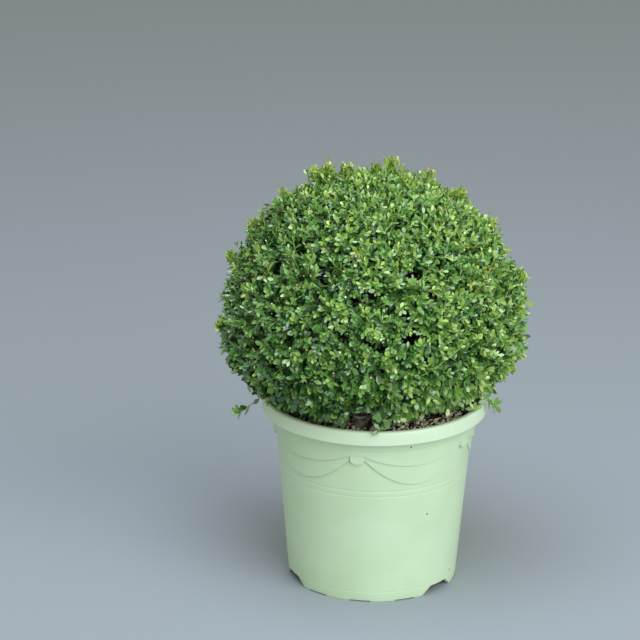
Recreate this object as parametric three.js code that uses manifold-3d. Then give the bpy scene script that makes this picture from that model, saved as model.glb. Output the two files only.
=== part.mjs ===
// A clipped Japanese holly ball in its moulded plastic pot, as a three.js scene graph of closed solids.
// Millimetres, +Z up. The origin is on the ground at the pot's axis. An azimuth is measured round that axis
// from the front (-Y), in radians, growing towards +X.
import * as THREE from "three";
import { mergeVertices } from "three/addons/utils/BufferGeometryUtils.js";
import Module from "manifold-3d";

const wasm = await Module();
wasm.setup();
const degrees = THREE.MathUtils.degToRad;

// Driving dimensions of the pot
const GAP = 0.3; // clearance between pieces that touch
const POT_HEIGHT = 281;
const FOOT_RADIUS = 124; // the wall's outside at the ground
const WALL_SLOPE = 0.088; // how fast the wall leans out as it rises
const WALL = 3; // thickness of the moulded wall
const RIM_RADIUS = 165.5; // outside of the turned-down rim
const RIM_LOW = 260; // lower edge of the rim
const LIP_RADIUS = 160; // crest of the rounded lip
const MOUTH_RADIUS = 155; // inner edge of the lip
const FOOT_WIDTH = 6; // the ring that stands on the ground
const FLOOR_LOW = 15; // underside of the raised floor
const BEAD_LOW = 171; // a flat bead runs round the wall
const BEAD_HIGH = 179;
const BEAD_RAISE = 0.8;
const COLLAR_LOW = 246; // the thicker band under the rim
const SWAGS = 5; // scallops of the two draped layers
const FIRST_TAB = degrees(-10.3); // the tab left of the front
const COLUMNS_PER_SWAG = 10;
const LAYER_RAISE = 2.2; // how far each draped layer stands out of what is under it
const LOWER_DRAPE = { top: 230.5, sag: 42 };
const UPPER_DRAPE = { top: 236.5, sag: 17.5 };
const TAB_WIDTH = 20;
const TAB_LOW = 224;
const TAB_RAISE = 1;
const NOTCHES = 3; // drainage notches in the foot
const FIRST_NOTCH = degrees(51);
const NOTCH_HEIGHT = 12.5;
const NOTCH_WIDE = 64; // at the ground
const NOTCH_NARROW = 34; // at its top
const SLOT_HEIGHT = 1.4; // shallow slots between the pads of the foot
const SLOT_WIDTH = 32;
const SLOT_SPREAD = degrees(31.5);
const DRAIN_HOLES = 6;
const DRAIN_RADIUS = 7;
const DRAIN_CIRCLE = 92;

// Driving dimensions of the plant
const COMPOST_TOP = 267;
const CENTRE = new THREE.Vector3(-3, 0, 393); // of the clipped ball
const BALL_RADIUS = 229; // to the clipped leaf tips
const TUCK_START = 0.15; // the ball is tucked in from this share of its radius below the centre
const TUCK = 0.4; // the share of its radius that it loses for each further share of depth
const FRONT_RIGHT = degrees(36); // where it is tucked in most
const FRONT_RIGHT_TUCK = 0.16;
const LOWEST_GROWTH = -0.62; // the lowest tips, as a share of the radius below the centre
const CORE_RADIUS = 190; // the dense growth that the twigs stand out of
const CORE_LOW = 286; // its flat underside, just over the rim
const CORE_COLUMNS = 22;
const CORE_ROWS = 9;
const HOLLOW_RADIUS = 96; // the bare inside, where no leaf gets light
const HOLLOW_HEIGHT = 70;
const STEM_HEIGHT = 30;
const STEM_RADIUS = 12;
const FLARE = 9; // how much wider the stem's foot is
const STEM_LEAN = new THREE.Vector3(5, -3, 0); // from its foot to its fork
const FORK_REACH = 26; // from the fork to the end of a bough's stub
const SIDE_BOUGHS = 5;
const BOUGH_RADIUS = 6;
const BOUGH_TIP_RADIUS = 4;
const SOCKET = 8; // how far a bough runs on into the leafy mass
const CROWN_STEM_RADIUS = 4;
const LIMBS = 27; // limbs of the mass, from its own stem
const LIMB_REACH = 0.5; // how far out they run, as a share of the ball's radius
const LIMB_RADIUS = 3;
const TWIGS = 104; // each grows from the nearest limb's end
const TWIG_REACH = 0.99;
const TWIG_RADIUS = 1.8;
const TWIG_TIP_RADIUS = 0.9;
const LEAVES_PER_TWIG = 3;
const TIP_LEAF = 0.75; // the size of a twig's last leaf
const LEAF_LENGTH = 44;
const LEAF_WIDTH = 25;
const LEAF_THICKNESS = 2;
const LEAF_FOLD = 3.2; // how far a leaf's edges lift above its midrib
const LEAF_ROOT = 3; // how far a leaf's root is sunk in its twig
const SEED = 303;
// The ends of the shoots that have grown on past the clipped ball
const LONG_SHOOTS = [
  new THREE.Vector3(27, 20, 634),
  new THREE.Vector3(-105, 60, 612),
  new THREE.Vector3(-52, 60, 618),
  new THREE.Vector3(84, 60, 610),
  new THREE.Vector3(135, 60, 586),
  new THREE.Vector3(-206, -43, 276),
  new THREE.Vector3(-238, -20, 400),
  new THREE.Vector3(232, 10, 386),
  new THREE.Vector3(192, -40, 286),
  new THREE.Vector3(30, -233, 380),
  new THREE.Vector3(-25, 233, 390),
];
// A small dark plug that stands in the compost at the front, under an opening in the foliage
const PLUG_PLACE = new THREE.Vector3(-22, -98, 258);
const PLUG_RADIUS = 11;
const PLUG_HEIGHT = 26;
const PLUG_RECESS = 3;
const PLUG_OPENING = 0.36; // how steeply the foliage opens upwards in front of the plug

// The same sequence of draws on every run (a linear congruential generator).
function seededRandom(seed) {
  let state = seed;
  return () => {
    state = (Math.imul(state, 1664525) + 1013904223) >>> 0;
    return state / 2 ** 32;
  };
}

// The level direction away from the pot's axis at an azimuth.
function outward(azimuth) {
  return new THREE.Vector3(Math.sin(azimuth), -Math.cos(azimuth), 0);
}

// The frame that turns X along the wall, Y up and Z outward at an azimuth, at a radius and height.
function wallFrame(azimuth, radius, height = 0) {
  const out = outward(azimuth);
  const up = new THREE.Vector3(0, 0, 1);
  const basis = new THREE.Matrix4().makeBasis(new THREE.Vector3().crossVectors(up, out), up, out);
  return basis.setPosition(out.clone().multiplyScalar(radius).setZ(height));
}

// Two directions at right angles to a given one and to each other.
function sideways(direction) {
  const helper = new THREE.Vector3(0, 0, 1);
  if (Math.abs(direction.z) > 0.9) helper.set(1, 0, 0);
  const across = new THREE.Vector3().crossVectors(helper, direction).normalize();
  return [across, new THREE.Vector3().crossVectors(across, direction)];
}

// Moves each corner of a geometry to where a rule puts it.
function reshape(geometry, rule) {
  const place = geometry.attributes.position;
  const point = new THREE.Vector3();
  for (let i = 0; i < place.count; i++) {
    point.fromBufferAttribute(place, i);
    rule(point, i);
    place.setXYZ(i, point.x, point.y, point.z);
  }
  return geometry;
}

// A closed geometry as a solid that can be joined and cut.
function solidOf(geometry) {
  const bare = geometry.clone();
  bare.deleteAttribute("normal");
  bare.deleteAttribute("uv");
  const merged = mergeVertices(bare);
  const mesh = new wasm.Mesh({
    numProp: 3,
    vertProperties: new Float32Array(merged.attributes.position.array),
    triVerts: new Uint32Array(merged.index.array),
  });
  return new wasm.Manifold(mesh);
}

// The solid's largest body as a geometry: a loose scrap is dropped.
function geometryFrom(solid) {
  const bodies = solid.decompose().sort((a, b) => b.volume() - a.volume());
  const mesh = bodies[0].getMesh();
  const geometry = new THREE.BufferGeometry();
  geometry.setAttribute("position", new THREE.BufferAttribute(mesh.vertProperties, 3));
  return geometry.setIndex(new THREE.BufferAttribute(mesh.triVerts, 1));
}

// A lathe-turned shape about the axis whose section, as [radius, height] pairs from the underside round the
// outside to the top, may change with the azimuth.
function turned(section, columns, firstAzimuth = 0) {
  const profile = section(firstAzimuth).map(([radius, height]) => new THREE.Vector2(radius, height));
  const lathe = new THREE.LatheGeometry(profile, columns, firstAzimuth);
  reshape(lathe, (point, i) => {
    const column = Math.floor(i / profile.length) % columns;
    const azimuth = firstAzimuth + (column * 2 * Math.PI) / columns;
    const [radius, height] = section(azimuth)[i % profile.length];
    point.set(radius * Math.sin(azimuth), height, radius * Math.cos(azimuth));
  });
  return lathe.rotateX(Math.PI / 2);
}

// A limb with flat ends along a curve, whose radius is a rule of how far along it is, from 0 to 1.
function limb(curve, radiusAt, sides, steps) {
  const [reference] = sideways(curve.getTangent(0.5));
  const tube = new THREE.CylinderGeometry(1, 1, 1, sides, steps);
  return reshape(tube, (point) => {
    const part = point.y + 0.5;
    const along = curve.getTangent(part);
    const across = reference.clone().addScaledVector(along, -reference.dot(along)).normalize();
    const up = new THREE.Vector3().crossVectors(across, along);
    const radius = radiusAt(part);
    const offset = across.multiplyScalar(point.x * radius).addScaledVector(up, point.z * radius);
    point.copy(curve.getPoint(part)).add(offset);
  });
}

// A straight limb that tapers evenly.
function straightLimb(start, end, startRadius, endRadius, sides) {
  const taper = (part) => THREE.MathUtils.lerp(startRadius, endRadius, part);
  return limb(new THREE.LineCurve3(start, end), taper, sides, 1);
}

// The pot

// The plain wall's outer radius at a height.
function wallRadius(height) {
  return FOOT_RADIUS + WALL_SLOPE * height;
}

// How far a scallop hangs at an azimuth, from 0 at the sides of its two tabs to 1 between them.
function scallopSag(azimuth) {
  const period = (2 * Math.PI) / SWAGS;
  const halfTab = TAB_WIDTH / 2 / wallRadius(TAB_LOW);
  const fromTab = THREE.MathUtils.euclideanModulo(azimuth - FIRST_TAB, period);
  const part = THREE.MathUtils.clamp((fromTab - halfTab) / (period - 2 * halfTab), 0, 1);
  return 4 * part * (1 - part);
}

// The pot's section: foot, wall, bead, the two draped layers, collar, rim, lip and inside.
function potSection(azimuth) {
  const sag = scallopSag(azimuth);
  const lowerEdge = LOWER_DRAPE.top - LOWER_DRAPE.sag * sag;
  const upperEdge = UPPER_DRAPE.top - UPPER_DRAPE.sag * sag;
  const ledge = 0.5; // each raised edge has a slight slope
  const outside = (height, raise = 0) => [wallRadius(height) + raise, height];
  const inside = (height) => [wallRadius(height) - WALL, height];
  return [
    [0, FLOOR_LOW],
    [FOOT_RADIUS - FOOT_WIDTH - 1, FLOOR_LOW],
    [FOOT_RADIUS - FOOT_WIDTH, 0],
    [FOOT_RADIUS, 0],
    outside(BEAD_LOW),
    outside(BEAD_LOW + ledge, BEAD_RAISE),
    outside(BEAD_HIGH - ledge, BEAD_RAISE),
    outside(BEAD_HIGH),
    outside(lowerEdge),
    outside(lowerEdge + ledge, LAYER_RAISE),
    outside(upperEdge, LAYER_RAISE),
    outside(upperEdge + ledge, 2 * LAYER_RAISE),
    outside(COLLAR_LOW, 2 * LAYER_RAISE),
    outside(COLLAR_LOW + ledge, 2 * LAYER_RAISE + BEAD_RAISE),
    outside(RIM_LOW + 3, 2 * LAYER_RAISE + BEAD_RAISE),
    [RIM_RADIUS - WALL, RIM_LOW + 1.5],
    [RIM_RADIUS - 1.5, RIM_LOW],
    [RIM_RADIUS, RIM_LOW + 2],
    [RIM_RADIUS - 0.5, POT_HEIGHT - 9],
    [RIM_RADIUS - 2, POT_HEIGHT - 3.5],
    [LIP_RADIUS + 1, POT_HEIGHT - 0.3],
    [LIP_RADIUS - 1.5, POT_HEIGHT],
    [MOUTH_RADIUS, POT_HEIGHT - 2.5],
    [wallRadius(POT_HEIGHT - 14) + 1, POT_HEIGHT - 14],
    inside(RIM_LOW - 12),
    inside(FLOOR_LOW + WALL),
    [0, FLOOR_LOW + WALL],
  ];
}

// A plate cut to an outline of [across, height] points and set square to the radius at an azimuth.
function radialPlate(azimuth, shape, inner, depth) {
  const plate = new THREE.ExtrudeGeometry(shape, { depth, bevelEnabled: false });
  return plate.applyMatrix4(wallFrame(azimuth, inner));
}

// A flat-topped outline, symmetric about its middle, that widens downwards and runs on below the ground.
function footOutline(wide, narrow, height) {
  const below = -2;
  const corners = [
    [-wide / 2, below],
    [wide / 2, below],
    [wide / 2, 0],
    [narrow / 2, height],
    [-narrow / 2, height],
    [-wide / 2, 0],
  ];
  return new THREE.Shape(corners.map(([across, up]) => new THREE.Vector2(across, up)));
}

// The half-round tab that hangs where two scallops meet. Its face leans back with the wall.
function tab(azimuth) {
  const half = TAB_WIDTH / 2;
  const top = UPPER_DRAPE.top - TAB_LOW + 2;
  const shape = new THREE.Shape();
  shape.moveTo(half, top);
  shape.lineTo(-half, top);
  shape.lineTo(-half, half);
  shape.absarc(0, half, half, Math.PI, 2 * Math.PI, false);
  const depth = 7;
  const face = wallRadius(TAB_LOW) + 2 * LAYER_RAISE + TAB_RAISE;
  const plate = new THREE.ExtrudeGeometry(shape, { depth, bevelEnabled: false, curveSegments: 8 });
  plate.translate(0, 0, -depth).rotateX(Math.atan(WALL_SLOPE));
  return plate.applyMatrix4(wallFrame(azimuth, face, TAB_LOW));
}

function makePot() {
  const around = (count, i) => (i * 2 * Math.PI) / count;
  let pot = solidOf(turned(potSection, SWAGS * COLUMNS_PER_SWAG, FIRST_TAB));
  for (let i = 0; i < SWAGS; i++) pot = pot.add(solidOf(tab(FIRST_TAB + around(SWAGS, i))));
  const notch = footOutline(NOTCH_WIDE, NOTCH_NARROW, NOTCH_HEIGHT);
  const slot = footOutline(SLOT_WIDTH, SLOT_WIDTH - 1, SLOT_HEIGHT);
  const inner = FOOT_RADIUS - 24;
  const depth = 34; // each cutter runs right through the foot ring
  for (let i = 0; i < NOTCHES; i++) {
    const azimuth = FIRST_NOTCH + around(NOTCHES, i);
    pot = pot.subtract(solidOf(radialPlate(azimuth, notch, inner, depth)));
    for (const side of [-1, 0, 1]) {
      const middle = azimuth + Math.PI / NOTCHES + side * SLOT_SPREAD;
      pot = pot.subtract(solidOf(radialPlate(middle, slot, inner, depth)));
    }
  }
  for (let i = 0; i < DRAIN_HOLES; i++) {
    const drill = new THREE.CylinderGeometry(DRAIN_RADIUS, DRAIN_RADIUS, 3 * WALL, 10);
    const place = outward(FIRST_NOTCH + around(DRAIN_HOLES, i)).multiplyScalar(DRAIN_CIRCLE);
    drill.rotateX(Math.PI / 2).translate(place.x, place.y, FLOOR_LOW + WALL / 2);
    pot = pot.subtract(solidOf(drill));
  }
  return geometryFrom(pot);
}

// The compost

// It fills the pot to under the lip. Its columns stand in line with every other column of the pot.
function makeCompost() {
  const columns = (SWAGS * COLUMNS_PER_SWAG) / 2;
  const edge = COMPOST_TOP - 6;
  const side = (height) => [wallRadius(height) - WALL - 2 * GAP, height];
  const uneven = (radius, azimuth) => {
    const ripple = 1.5 * Math.sin(3 * azimuth + 1) + Math.cos(7 * azimuth + radius / 15);
    return [radius, COMPOST_TOP - 2.5 + ripple];
  };
  const section = (azimuth) => [
    [0, FLOOR_LOW + WALL + GAP],
    side(FLOOR_LOW + WALL + GAP),
    side(RIM_LOW - 12),
    [wallRadius(edge) - WALL - 2 * GAP, edge],
    uneven(132, azimuth),
    uneven(90, azimuth),
    uneven(55, azimuth),
    [30, COMPOST_TOP], // level where the stem stands
    [0, COMPOST_TOP],
  ];
  const heap = solidOf(turned(section, columns, FIRST_TAB));
  const seatDepth = 2 * PLUG_HEIGHT;
  const seat = new THREE.CylinderGeometry(PLUG_RADIUS + GAP, PLUG_RADIUS + GAP, seatDepth, 16);
  seat.rotateX(Math.PI / 2).translate(PLUG_PLACE.x, PLUG_PLACE.y, PLUG_PLACE.z - GAP + seatDepth / 2);
  return geometryFrom(heap.subtract(solidOf(seat)));
}

// The small plug: a tapered body with a thicker brim and a shallow dish in its top, pressed into the compost.
function makePlug() {
  const section = () => [
    [0, 0],
    [PLUG_RADIUS - 2, 0],
    [PLUG_RADIUS - 1, PLUG_HEIGHT - 3],
    [PLUG_RADIUS, PLUG_HEIGHT - 2.6],
    [PLUG_RADIUS, PLUG_HEIGHT],
    [PLUG_RADIUS - 1.6, PLUG_HEIGHT],
    [PLUG_RADIUS - 2, PLUG_HEIGHT - PLUG_RECESS],
    [0, PLUG_HEIGHT - PLUG_RECESS],
  ];
  return geometryFrom(solidOf(turned(section, 16)));
}

// The stem and its boughs

const FOOT = new THREE.Vector3(0, 0, COMPOST_TOP + GAP);
const FORK = FOOT.clone().add(STEM_LEAN).setZ(COMPOST_TOP + STEM_HEIGHT);
const HOLLOW_MIDDLE = new THREE.Vector3(CENTRE.x, CENTRE.y, CORE_LOW);

// The leader goes nearly straight up, and the side boughs spread evenly round it.
const BOUGHS = [new THREE.Vector3(0.05, 0.03, 1)];
for (let i = 0; i < SIDE_BOUGHS; i++) {
  const rise = 0.7 + 0.25 * ((i * 0.618) % 1);
  BOUGHS.push(outward(0.45 + (i * 2 * Math.PI) / SIDE_BOUGHS).setZ(rise));
}
BOUGHS.forEach((direction) => direction.normalize());

// How far a line from the fork runs before it meets the roof of the bare inside.
function roofReach(direction) {
  const size = new THREE.Vector3(HOLLOW_RADIUS, HOLLOW_RADIUS, HOLLOW_HEIGHT);
  const start = FORK.clone().sub(HOLLOW_MIDDLE).divide(size);
  const step = direction.clone().divide(size);
  const a = step.dot(step);
  const b = start.dot(step);
  const c = start.dot(start) - 1;
  return (-b + Math.sqrt(b * b - a * c)) / a;
}

// The stem: a flared foot cut flat on the compost, a slight lean, and a stub for each bough.
function makeStem() {
  const middle = FOOT.clone().lerp(FORK, 0.5).setX(0.5);
  const curve = new THREE.QuadraticBezierCurve3(FOOT.clone().setZ(FOOT.z - 4), middle, FORK);
  const flared = (part) => STEM_RADIUS * (1 - 0.12 * part) + FLARE * (1 - part) ** 4;
  let stem = solidOf(limb(curve, flared, 10, 6)).trimByPlane([0, 0, 1], FOOT.z);
  for (const direction of BOUGHS) {
    const end = FORK.clone().addScaledVector(direction, FORK_REACH);
    stem = stem.add(solidOf(straightLimb(FORK, end, BOUGH_RADIUS + 1.5, BOUGH_RADIUS, 8)));
  }
  return geometryFrom(stem);
}

// A bough: one tapering limb from the end of its stub to just inside the leafy mass. A wider copy of it, with
// the same curve, is what the mass is cut by.
function makeBough(direction, extra = 0) {
  const start = FORK.clone().addScaledVector(direction, FORK_REACH + GAP - extra);
  const end = FORK.clone().addScaledVector(direction, roofReach(direction) + SOCKET + extra);
  const [across] = sideways(direction);
  const straight = start.clone().lerp(end, 0.4); // it leaves its stub in line with it
  const bent = start.clone().lerp(end, 0.7).addScaledVector(across, 3);
  const radius = (part) => THREE.MathUtils.lerp(BOUGH_RADIUS, BOUGH_TIP_RADIUS, part) + extra;
  return limb(new THREE.CubicBezierCurve3(start, straight, bent, end), radius, 7, 4);
}

// The leafy mass

const GOLDEN_ANGLE = Math.PI * (3 - Math.sqrt(5));

// The clipped ball's outline from its centre: tucked in under its widest part, most at the front right.
function clippedRadius(direction) {
  const low = Math.max(0, -direction.z - TUCK_START);
  const azimuth = Math.atan2(direction.x, -direction.y);
  const frontRight = Math.max(0, Math.cos(azimuth - FRONT_RIGHT)) ** 6;
  return BALL_RADIUS * (1 - (TUCK + FRONT_RIGHT_TUCK * frontRight) * low);
}

// Tips in directions spread evenly by the golden angle, from straight up to the lowest growth, at a share of
// the clipped outline.
function spreadTips(count, share) {
  return Array.from({ length: count }, (_, i) => {
    const height = THREE.MathUtils.lerp(1, LOWEST_GROWTH, (i + 0.5) / count);
    const direction = outward(i * GOLDEN_ANGLE).multiplyScalar(Math.sqrt(1 - height ** 2)).setZ(height);
    return CENTRE.clone().addScaledVector(direction, share * clippedRadius(direction));
  });
}

// The core has shoulders of denser growth.
function coreRadius(direction) {
  const shoulders =
    Math.sin(5 * direction.x + 1.3) * Math.sin(6 * direction.y + 0.4) +
    Math.sin(7 * direction.z + 2 * direction.x) * Math.cos(5 * direction.y);
  return (clippedRadius(direction) / BALL_RADIUS) * CORE_RADIUS * (1 + 0.02 * shoulders);
}

// The core: a ball with a flat underside and a domed hollow in it, from the hollow's roof down, round the
// outside and up to the crown.
function makeCore() {
  const lowest = Math.acos((CORE_LOW - CENTRE.z) / CORE_RADIUS); // the angle from the top to the underside
  const section = (azimuth) => {
    const rows = [];
    for (let i = 0; i <= 5; i++) {
      const turn = (i * Math.PI) / 10;
      rows.push([HOLLOW_RADIUS * Math.sin(turn), CORE_LOW + HOLLOW_HEIGHT * Math.cos(turn)]);
    }
    for (let i = 0; i <= CORE_ROWS; i++) {
      const turn = lowest * (1 - i / CORE_ROWS);
      const direction = outward(azimuth).multiplyScalar(Math.sin(turn)).setZ(Math.cos(turn));
      const reach = coreRadius(direction);
      const height = i === 0 ? CORE_LOW : CENTRE.z + reach * direction.z;
      rows.push([reach * Math.sin(turn), height]);
    }
    rows[0][0] = 0;
    rows[rows.length - 1] = [0, CENTRE.z + coreRadius(new THREE.Vector3(0, 0, 1))];
    return rows;
  };
  return turned(section, CORE_COLUMNS).translate(CENTRE.x, CENTRE.y, 0);
}

// Whether a leaf may fill a point: over the compost and the rim, clear of the plug and of the bare inside.
function inLeafSpace(point) {
  const fromAxis = Math.hypot(point.x, point.y);
  const overRim = fromAxis > MOUTH_RADIUS - 6 && fromAxis < RIM_RADIUS + 3;
  const lowest = overRim ? POT_HEIGHT + 1.5 : COMPOST_TOP + 3;
  const besidePlug = Math.abs(point.x - PLUG_PLACE.x);
  const beforePlug = PLUG_PLACE.y - point.y;
  const openTo = PLUG_PLACE.z + PLUG_HEIGHT + 2 + PLUG_OPENING * Math.max(0, beforePlug);
  const atPlug = besidePlug < PLUG_RADIUS + 3 && beforePlug > -PLUG_RADIUS - 3;
  if (atPlug && point.z < openTo) return false;
  if (fromAxis < HOLLOW_RADIUS + 2 && point.z < CORE_LOW + HOLLOW_HEIGHT) return false;
  return point.z > lowest;
}

// One leaf of eight faces: a folded blade, widest past its middle, with its root at a given place.
function leaf(root, along, normal, size) {
  const across = new THREE.Vector3().crossVectors(normal, along).normalize();
  const up = new THREE.Vector3().crossVectors(along, across).normalize();
  const widest = 0.56;
  return reshape(new THREE.OctahedronGeometry(1), (point) => {
    const forward = size * LEAF_LENGTH * (point.x === 0 ? widest : (point.x + 1) / 2);
    const side = (point.y * size * LEAF_WIDTH) / 2;
    const lift = Math.abs(point.y) * size * LEAF_FOLD + (point.z * LEAF_THICKNESS) / 2;
    point.copy(root).addScaledVector(along, forward).addScaledVector(across, side).addScaledVector(up, lift);
  });
}

// Whether every corner of a leaf is in the leaf space and no further out than the clipped ball allows.
function leafFits(blade, allowance) {
  let fits = true;
  reshape(blade.clone(), (point) => {
    const offset = point.clone().sub(CENTRE);
    const reach = offset.length();
    if (!inLeafSpace(point) || reach > clippedRadius(offset.divideScalar(reach)) + allowance) fits = false;
  });
  return fits;
}

// One twig with a leaf at its tip and the others turned round it by the golden angle.
function growTwig(start, tip, random, solids) {
  const along = tip.clone().sub(start).normalize();
  const [across, up] = sideways(along);
  const offset = tip.clone().sub(CENTRE);
  const allowance = 4 + Math.max(0, offset.length() - clippedRadius(offset.clone().normalize()));
  const end = tip.clone().addScaledVector(along, LEAF_ROOT - TIP_LEAF * LEAF_LENGTH);
  solids.push(solidOf(straightLimb(start, end, TWIG_RADIUS, TWIG_TIP_RADIUS, 3)));
  let turn = random() * 2 * Math.PI;
  for (let i = 0; i < LEAVES_PER_TWIG; i++) {
    turn += GOLDEN_ANGLE + 0.4 * (random() - 0.5);
    const isTip = i === LEAVES_PER_TWIG - 1;
    const size = isTip ? TIP_LEAF : 0.85 + 0.2 * random();
    const spread = isTip ? 0.1 : 0.8 + 0.4 * random();
    const away = across.clone().multiplyScalar(Math.cos(turn)).addScaledVector(up, Math.sin(turn));
    const heading = along.clone().multiplyScalar(Math.cos(spread)).addScaledVector(away, Math.sin(spread));
    const normal = along.clone().multiplyScalar(Math.sin(spread)).addScaledVector(away, -Math.cos(spread));
    const back = isTip ? 6 : 8 + 5.5 * (LEAVES_PER_TWIG - 2 - i);
    const root = end.clone().addScaledVector(along, LEAF_ROOT - back);
    const blade = leaf(root, heading, normal, size);
    if (leafFits(blade, allowance)) solids.push(solidOf(blade));
  }
}

// The mass: a stem that rises from the leader's tip, limbs that radiate from its top through the core, twigs
// that each grow from the nearest limb's end, and their leaves, all fused.
function makeFoliage() {
  const random = seededRandom(SEED);
  const leader = BOUGHS[0];
  const stemFoot = FORK.clone().addScaledVector(leader, roofReach(leader) + SOCKET);
  const solids = [solidOf(makeCore())];
  solids.push(solidOf(straightLimb(stemFoot, CENTRE, CROWN_STEM_RADIUS, LIMB_RADIUS, 5)));
  const limbEnds = spreadTips(LIMBS, LIMB_REACH);
  for (const end of limbEnds) solids.push(solidOf(straightLimb(CENTRE, end, LIMB_RADIUS, TWIG_RADIUS, 3)));
  for (const tip of [...spreadTips(TWIGS, TWIG_REACH), ...LONG_SHOOTS]) {
    const nearer = (best, end) => (end.distanceTo(tip) < best.distanceTo(tip) ? end : best);
    if (inLeafSpace(tip)) growTwig(limbEnds.reduce(nearer), tip, random, solids);
  }
  let mass = wasm.Manifold.union(solids);
  for (const direction of BOUGHS) mass = mass.subtract(solidOf(makeBough(direction, GAP)));
  return geometryFrom(mass);
}

// The finished assembly
const finish = {
  pot: new THREE.MeshStandardMaterial({ color: 0xc3e3c0, roughness: 0.42, metalness: 0 }),
  compost: new THREE.MeshStandardMaterial({ color: 0x3a2a20, roughness: 0.95, metalness: 0 }),
  plug: new THREE.MeshStandardMaterial({ color: 0x2c2826, roughness: 0.6, metalness: 0 }),
  bark: new THREE.MeshStandardMaterial({ color: 0x6d6557, roughness: 0.85, metalness: 0 }),
  leaf: new THREE.MeshStandardMaterial({ color: 0x3f7a2e, roughness: 0.4, metalness: 0 }),
};

function piece(name, geometry, material) {
  const mesh = new THREE.Mesh(geometry, material);
  mesh.name = name;
  return mesh;
}

const plant = new THREE.Group();
plant.add(piece("pot", makePot(), finish.pot));
plant.add(piece("compost", makeCompost(), finish.compost));
const plug = piece("plug", makePlug(), finish.plug);
plug.position.copy(PLUG_PLACE);
plant.add(plug);
plant.add(piece("stem", makeStem(), finish.bark));
BOUGHS.forEach((direction, i) => {
  const name = i === 0 ? "bough_leader" : "bough_" + i;
  plant.add(piece(name, geometryFrom(solidOf(makeBough(direction))), finish.bark));
});
plant.add(piece("foliage_ball", makeFoliage(), finish.leaf));

export default plant;
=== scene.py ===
# A clipped Japanese holly ball in its moulded plastic pot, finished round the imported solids.
# Sizes are in millimetres unless a comment says otherwise, and MM turns them into Blender's metres. The
# origin is on the ground at the pot's axis, and an azimuth is measured from the front (-Y) towards +X.
import math

import bpy
import numpy as np
from mathutils import Matrix, Vector, noise


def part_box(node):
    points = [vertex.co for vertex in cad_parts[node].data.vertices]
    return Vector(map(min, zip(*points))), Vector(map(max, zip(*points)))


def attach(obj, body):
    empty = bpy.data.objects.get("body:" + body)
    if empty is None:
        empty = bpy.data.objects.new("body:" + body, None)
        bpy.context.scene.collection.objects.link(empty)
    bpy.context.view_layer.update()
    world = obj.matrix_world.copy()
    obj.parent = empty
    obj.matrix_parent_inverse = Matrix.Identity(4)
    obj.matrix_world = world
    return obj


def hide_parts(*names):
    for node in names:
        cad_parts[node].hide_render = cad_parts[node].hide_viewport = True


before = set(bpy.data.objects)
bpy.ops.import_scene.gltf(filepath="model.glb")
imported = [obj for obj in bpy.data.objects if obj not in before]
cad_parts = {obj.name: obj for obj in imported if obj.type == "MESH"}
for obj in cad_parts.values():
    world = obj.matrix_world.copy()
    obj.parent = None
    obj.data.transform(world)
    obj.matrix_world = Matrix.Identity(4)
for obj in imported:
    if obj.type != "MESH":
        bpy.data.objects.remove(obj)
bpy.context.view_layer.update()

MM = 0.001


# Camera
# The photograph looks down on the plant with a long lens, from a little left of it. The camera's place and
# its lens were fitted to the pot's rim, foot and sides.
camera_place = Vector((-81.4, -5284, 2253)) * MM
camera_pitch = math.radians(19.39)
camera_roll = 0.010
lens_length, sensor_width = 215.6, 36

bpy.ops.object.camera_add(location=camera_place)
camera = bpy.context.object
camera.name = "camera"
camera.data.lens = lens_length
camera.data.sensor_width = sensor_width
camera.data.clip_end = 100
aim = Matrix.Rotation(math.pi / 2 - camera_pitch, 4, "X") @ Matrix.Rotation(camera_roll, 4, "Z")
camera.rotation_euler = aim.to_euler()
bpy.context.scene.camera = camera


# Floor and light
# A plain pale studio floor that runs out past every view. A large soft light stands at the front right, a
# cooler one hangs overhead, and a weak warm one fills the left side, in an even pale surround.
def linear(hex_colour):
    """An sRGB hex colour as linear red, green, blue and alpha."""
    channels = [int(hex_colour[i : i + 2], 16) / 255 for i in (0, 2, 4)]
    return [c / 12.92 if c <= 0.04045 else ((c + 0.055) / 1.055) ** 2.4 for c in channels] + [1]


def new_material(name, colour, roughness, **sockets):
    """A material and its shader, with the values that are the same all over the surface."""
    material = bpy.data.materials.new(name)
    material.use_nodes = True
    shader = material.node_tree.nodes["Principled BSDF"]
    shader.inputs["Base Color"].default_value = linear(colour)
    shader.inputs["Roughness"].default_value = roughness
    for socket, value in sockets.items():
        shader.inputs[socket.replace("_", " ")].default_value = value
    return material, shader


plant_middle = Vector((0, 0, 0.35))  # in metres


def add_light(name, place, size, power, colour):
    """A square area light that faces the middle of the plant. Place and size are in metres."""
    bpy.ops.object.light_add(type="AREA", location=place)
    light = bpy.context.object
    light.name = name
    light.rotation_euler = (plant_middle - Vector(place)).to_track_quat("-Z", "Y").to_euler()
    light.data.size = size
    light.data.energy = power
    light.data.color = linear(colour)[:3]


bpy.ops.mesh.primitive_plane_add(size=40)
floor = bpy.context.object
floor.name = "floor"
floor.data.materials.append(new_material("matte pale studio floor", "98a0a5", 0.8)[0])

add_light("key_light", (2.6, -3.7, 2.7), 4.6, 242, "f4f7fc")
add_light("top_light", (-0.3, -0.8, 3.3), 2.4, 84, "d6e5ff")
add_light("fill_light", (-3.2, -2.0, 1.5), 2.2, 7, "ffdcb0")
surround = bpy.data.worlds.new("pale_surround")
surround.use_nodes = True
surround_light = surround.node_tree.nodes["Background"].inputs
surround_light["Color"].default_value = linear("f1f0e2")
surround_light["Strength"].default_value = 0.5
bpy.context.scene.world = surround
bpy.context.scene.view_settings.view_transform = "Standard"


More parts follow.
